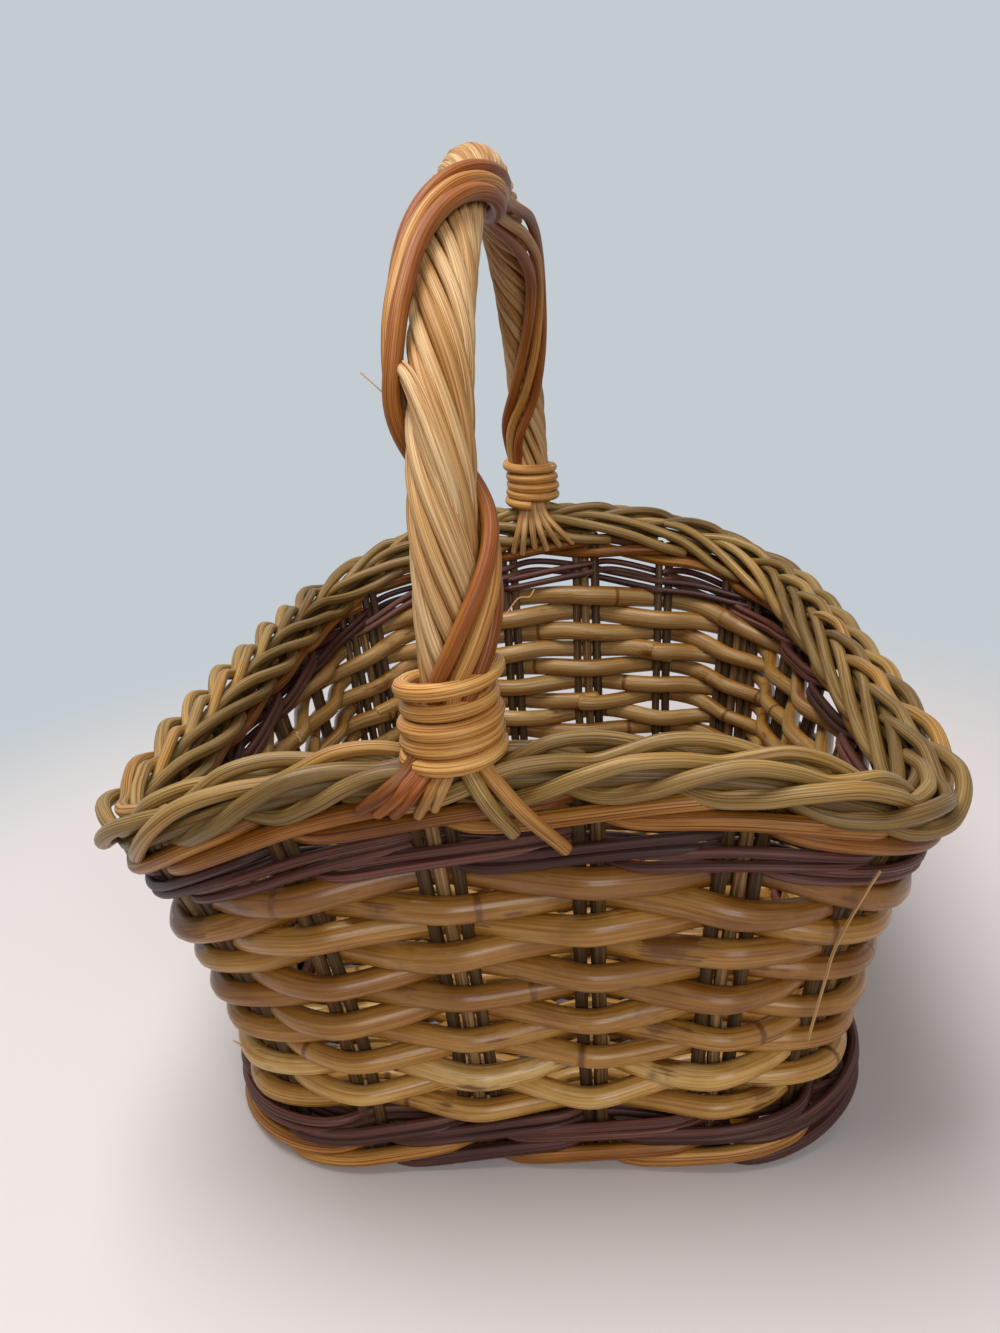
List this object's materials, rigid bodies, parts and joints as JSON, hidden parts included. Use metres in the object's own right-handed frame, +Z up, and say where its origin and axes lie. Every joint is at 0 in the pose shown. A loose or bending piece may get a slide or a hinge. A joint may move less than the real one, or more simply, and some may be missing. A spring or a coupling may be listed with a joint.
{
  "type": "harvest basket",
  "caption": "Oblong woven willow and rattan basket with flared walls, twisted wale bands, a roped rim border and a fixed roped handle arching from end to end.",
  "frame": {"origin": "on the floor under the middle of the basket", "axes": "+Z up; Y along the basket, in the plane of the handle, with the pictured end at -Y; X across the ends"},
  "size_m": [0.2338, 0.2954, 0.2866],
  "materials": {
    "buff_willow": "smooth bark-off rod",
    "golden_rattan": "glossy natural skin",
    "orange_willow": "satin",
    "purple_willow": "satin bark-on rod",
    "olive_willow": "satin bark-on rod",
    "peeled_willow": "matt peeled rod",
    "red_willow": "satin bark-on rod",
    "binding_cane": "satin"
  },
  "bodies": {
    "root": {"stake_1": "buff_willow", "stake_2": "buff_willow", "stake_3": "buff_willow", "stake_4": "buff_willow", "stake_5": "buff_willow", "stake_6": "buff_willow", "stake_7": "buff_willow", "stake_8": "buff_willow", "stake_9": "buff_willow", "stake_10": "buff_willow", "stake_11": "buff_willow", "stake_12": "buff_willow", "stake_13": "buff_willow", "stake_14": "buff_willow", "stake_15": "buff_willow", "stake_16": "buff_willow", "stake_17": "buff_willow", "stake_18": "buff_willow", "stake_19": "buff_willow", "stake_20": "buff_willow", "side_weaver_1": "golden_rattan", "side_weaver_2": "golden_rattan", "side_weaver_3": "golden_rattan", "side_weaver_4": "golden_rattan", "side_weaver_5": "golden_rattan", "side_weaver_6": "golden_rattan", "side_weaver_7": "golden_rattan", "side_weaver_8": "golden_rattan", "side_weaver_9": "golden_rattan", "side_weaver_10": "golden_rattan", "side_weaver_11": "golden_rattan", "side_weaver_12": "golden_rattan", "foot_wale_rod_1": "orange_willow", "foot_wale_rod_2": "orange_willow", "dark_lower_wale_rod_1": "purple_willow", "dark_lower_wale_rod_2": "purple_willow", "purple_upper_wale_rod_1": "purple_willow", "purple_upper_wale_rod_2": "purple_willow", "orange_upper_wale_rod_1": "orange_willow", "orange_upper_wale_rod_2": "orange_willow", "border_rod_1": "olive_willow", "border_rod_2": "olive_willow", "border_rod_3": "olive_willow", "base_stick_1": "buff_willow", "base_stick_2": "buff_willow", "base_stick_3": "buff_willow", "base_stick_4": "buff_willow", "base_weaver": "golden_rattan", "handle_core": "peeled_willow", "handle_strand_1": "peeled_willow", "handle_strand_2": "peeled_willow", "handle_strand_3": "peeled_willow", "handle_strand_4": "peeled_willow", "handle_strand_5": "peeled_willow", "handle_strand_6": "peeled_willow", "handle_strand_7": "peeled_willow", "handle_wrap_1": "red_willow", "handle_wrap_2": "red_willow", "near_binding": "binding_cane", "far_binding": "binding_cane"}
  },
  "joints": []
}
